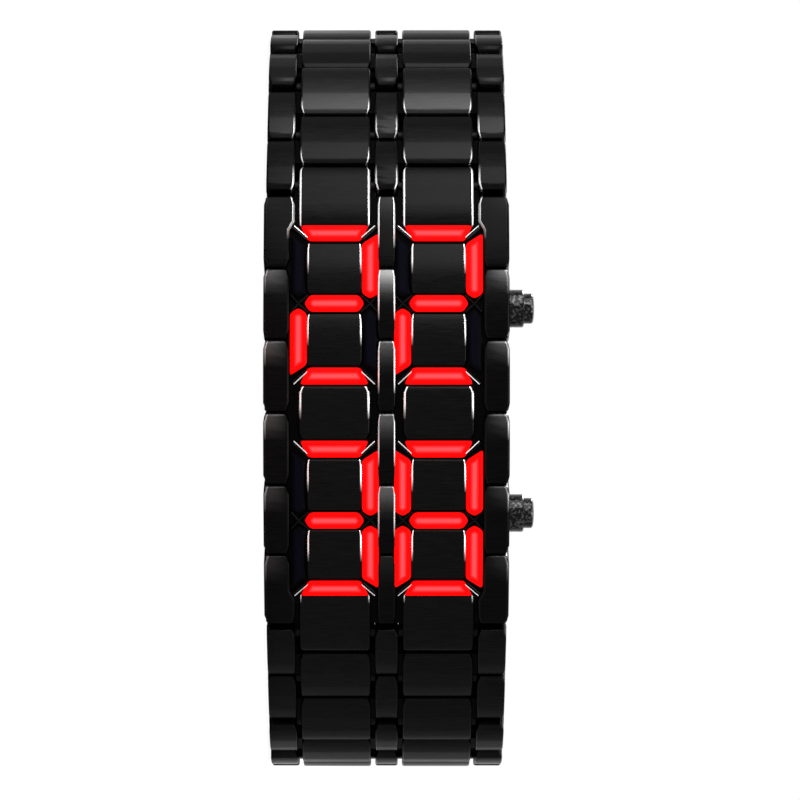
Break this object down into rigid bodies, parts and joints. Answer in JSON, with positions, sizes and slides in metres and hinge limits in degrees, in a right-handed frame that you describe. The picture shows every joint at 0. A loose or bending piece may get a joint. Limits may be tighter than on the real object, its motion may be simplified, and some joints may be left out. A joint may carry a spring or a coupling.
{
  "type": "wristwatch",
  "caption": "Black link bracelet wristwatch that shows the time in glowing red segment bars set between its case links, with side push buttons and a folding clasp.",
  "frame": {"origin": "centre of the bounding box at its base: the watch lies on its left flank with the push buttons up", "axes": "+X runs from 12 o'clock to 6 o'clock along the case, -Y is the way the display faces, +Z runs across the bracelet to the push buttons"},
  "size_m": [0.0762, 0.0522, 0.0265],
  "materials": {
    "black_plated_steel": "black ion plating, polished",
    "dark_pin_steel": "black plating, satin",
    "button_steel": "polished dark steel",
    "red_light": "glowing red resin bars",
    "dark_light": "unlit tinted resin bars",
    "inner_plastic": "moulded carrier",
    "board_green": "lacquered circuit board",
    "chip_white": "light chips",
    "cell_steel": "nickelled cell cans",
    "contact_brass": "sprung brass",
    "seal_rubber": "soft black seal"
  },
  "bodies": {
    "case": {"case_shell": "black_plated_steel", "back_cover": "black_plated_steel", "back_screws": "dark_pin_steel", "back_gasket": "seal_rubber", "module_frame": "inner_plastic", "circuit_board": "board_green", "led_chips": "chip_white", "battery_inner": "cell_steel", "battery_outer": "cell_steel", "battery_contact": "contact_brass", "lit_bars_hour_tens": "red_light", "lit_bars_hour_units": "red_light", "lit_bars_minute_tens": "red_light", "lit_bars_minute_units": "red_light", "unlit_bars": "dark_light", "button_tubes": "button_steel", "button_seals": "seal_rubber", "upper_button_spring": "cell_steel", "lower_button_spring": "cell_steel"},
    "upper_button": {"upper_button": "button_steel"},
    "lower_button": {"lower_button": "button_steel"},
    "upper_link_1": {"upper_link_1": "black_plated_steel", "upper_link_pin_1": "dark_pin_steel"},
    "upper_link_2": {"upper_link_2": "black_plated_steel", "upper_link_pin_2": "dark_pin_steel"},
    "upper_link_3": {"upper_link_3": "black_plated_steel", "upper_link_pin_3": "dark_pin_steel"},
    "upper_link_4": {"upper_link_4": "black_plated_steel", "upper_link_pin_4": "dark_pin_steel"},
    "upper_link_5": {"upper_link_5": "black_plated_steel", "upper_link_pin_5": "dark_pin_steel"},
    "upper_link_6": {"upper_link_6": "black_plated_steel", "upper_link_pin_6": "dark_pin_steel"},
    "upper_link_7": {"upper_link_7": "black_plated_steel", "upper_link_pin_7": "dark_pin_steel"},
    "upper_link_8": {"upper_link_8": "black_plated_steel", "upper_link_pin_8": "dark_pin_steel", "upper_spring_bar": "dark_pin_steel"},
    "lower_link_1": {"lower_link_1": "black_plated_steel", "lower_link_pin_1": "dark_pin_steel"},
    "lower_link_2": {"lower_link_2": "black_plated_steel", "lower_link_pin_2": "dark_pin_steel"},
    "lower_link_3": {"lower_link_3": "black_plated_steel", "lower_link_pin_3": "dark_pin_steel"},
    "lower_link_4": {"lower_link_4": "black_plated_steel", "lower_link_pin_4": "dark_pin_steel"},
    "lower_link_5": {"lower_link_5": "black_plated_steel", "lower_link_pin_5": "dark_pin_steel"},
    "lower_link_6": {"lower_link_6": "black_plated_steel", "lower_link_pin_6": "dark_pin_steel"},
    "lower_link_7": {"lower_link_7": "black_plated_steel", "lower_link_pin_7": "dark_pin_steel"},
    "lower_link_8": {"lower_link_8": "black_plated_steel", "lower_link_pin_8": "dark_pin_steel"},
    "clasp_base": {"clasp_bottom_blade": "black_plated_steel", "lower_spring_bar": "dark_pin_steel"},
    "clasp_blade": {"clasp_middle_blade": "black_plated_steel", "clasp_hinge_pins": "dark_pin_steel"},
    "clasp_cover": {"clasp_cover": "black_plated_steel"}
  },
  "joints": [
    {"name": "upper_button_press", "type": "slide", "parent": "case", "child": "upper_button", "axis": [0, 0, -1], "range_m": [0, 0.0008], "stiffness_N_per_m": 400, "springref_m": -0.0005, "deforming": ["upper_button_spring"]},
    {"name": "lower_button_press", "type": "slide", "parent": "case", "child": "lower_button", "axis": [0, 0, -1], "range_m": [0, 0.0008], "stiffness_N_per_m": 400, "springref_m": -0.0005, "deforming": ["lower_button_spring"]},
    {"name": "upper_hinge_1", "type": "hinge", "parent": "case", "child": "upper_link_1", "pos_m": [-0.02188, -0.01846, 0.012], "axis": [0, 0, 1], "range_deg": [0, 21.53]},
    {"name": "upper_hinge_2", "type": "hinge", "parent": "upper_link_1", "child": "upper_link_2", "pos_m": [-0.02687, -0.01348, 0.012], "axis": [0, 0, 1], "range_deg": [0, 6]},
    {"name": "upper_hinge_3", "type": "hinge", "parent": "upper_link_2", "child": "upper_link_3", "pos_m": [-0.03176, -0.00841, 0.012], "axis": [0, 0, 1], "range_deg": [0, 23]},
    {"name": "upper_hinge_4", "type": "hinge", "parent": "upper_link_3", "child": "upper_link_4", "pos_m": [-0.03486, -0.00207, 0.012], "axis": [0, 0, 1], "range_deg": [0, 21]},
    {"name": "upper_hinge_5", "type": "hinge", "parent": "upper_link_4", "child": "upper_link_5", "pos_m": [-0.03608, 0.00487, 0.012], "axis": [0, 0, 1], "range_deg": [0, 29]},
    {"name": "upper_hinge_6", "type": "hinge", "parent": "upper_link_5", "child": "upper_link_6", "pos_m": [-0.03437, 0.01171, 0.012], "axis": [0, 0, 1], "range_deg": [0, 29]},
    {"name": "upper_hinge_7", "type": "hinge", "parent": "upper_link_6", "child": "upper_link_7", "pos_m": [-0.03003, 0.01727, 0.012], "axis": [0, 0, 1], "range_deg": [0, 27]},
    {"name": "upper_hinge_8", "type": "hinge", "parent": "upper_link_7", "child": "upper_link_8", "pos_m": [-0.02393, 0.02079, 0.012], "axis": [0, 0, 1], "range_deg": [0, 20]},
    {"name": "lower_hinge_1", "type": "hinge", "parent": "case", "child": "lower_link_1", "pos_m": [0.02188, -0.01846, 0.012], "axis": [0, 0, -1], "range_deg": [0, 21.53]},
    {"name": "lower_hinge_2", "type": "hinge", "parent": "lower_link_1", "child": "lower_link_2", "pos_m": [0.02687, -0.01348, 0.012], "axis": [0, 0, -1], "range_deg": [0, 6]},
    {"name": "lower_hinge_3", "type": "hinge", "parent": "lower_link_2", "child": "lower_link_3", "pos_m": [0.03176, -0.00841, 0.012], "axis": [0, 0, -1], "range_deg": [0, 23]},
    {"name": "lower_hinge_4", "type": "hinge", "parent": "lower_link_3", "child": "lower_link_4", "pos_m": [0.03486, -0.00207, 0.012], "axis": [0, 0, -1], "range_deg": [0, 21]},
    {"name": "lower_hinge_5", "type": "hinge", "parent": "lower_link_4", "child": "lower_link_5", "pos_m": [0.03608, 0.00487, 0.012], "axis": [0, 0, -1], "range_deg": [0, 29]},
    {"name": "lower_hinge_6", "type": "hinge", "parent": "lower_link_5", "child": "lower_link_6", "pos_m": [0.03437, 0.01171, 0.012], "axis": [0, 0, -1], "range_deg": [0, 29]},
    {"name": "lower_hinge_7", "type": "hinge", "parent": "lower_link_6", "child": "lower_link_7", "pos_m": [0.03003, 0.01727, 0.012], "axis": [0, 0, -1], "range_deg": [0, 27]},
    {"name": "lower_hinge_8", "type": "hinge", "parent": "lower_link_7", "child": "lower_link_8", "pos_m": [0.02393, 0.02079, 0.012], "axis": [0, 0, -1], "range_deg": [0, 20]},
    {"name": "clasp_hinge", "type": "hinge", "parent": "lower_link_8", "child": "clasp_base", "pos_m": [0.01712, 0.02262, 0.012], "axis": [0, 0, -1], "range_deg": [0, 20]},
    {"name": "clasp_fold", "type": "hinge", "parent": "clasp_base", "child": "clasp_blade", "pos_m": [-0.01222, 0.02222, 0.012], "axis": [0, 0, 1], "range_deg": [0, 150]},
    {"name": "cover_fold", "type": "hinge", "parent": "clasp_blade", "child": "clasp_cover", "pos_m": [0.01269, 0.02222, 0.012], "axis": [0, 0, 1], "range_deg": [-150, 0]}
  ],
  "couplings": [
    {"joint": "cover_fold", "follows": "clasp_fold", "ratio": -1}
  ]
}
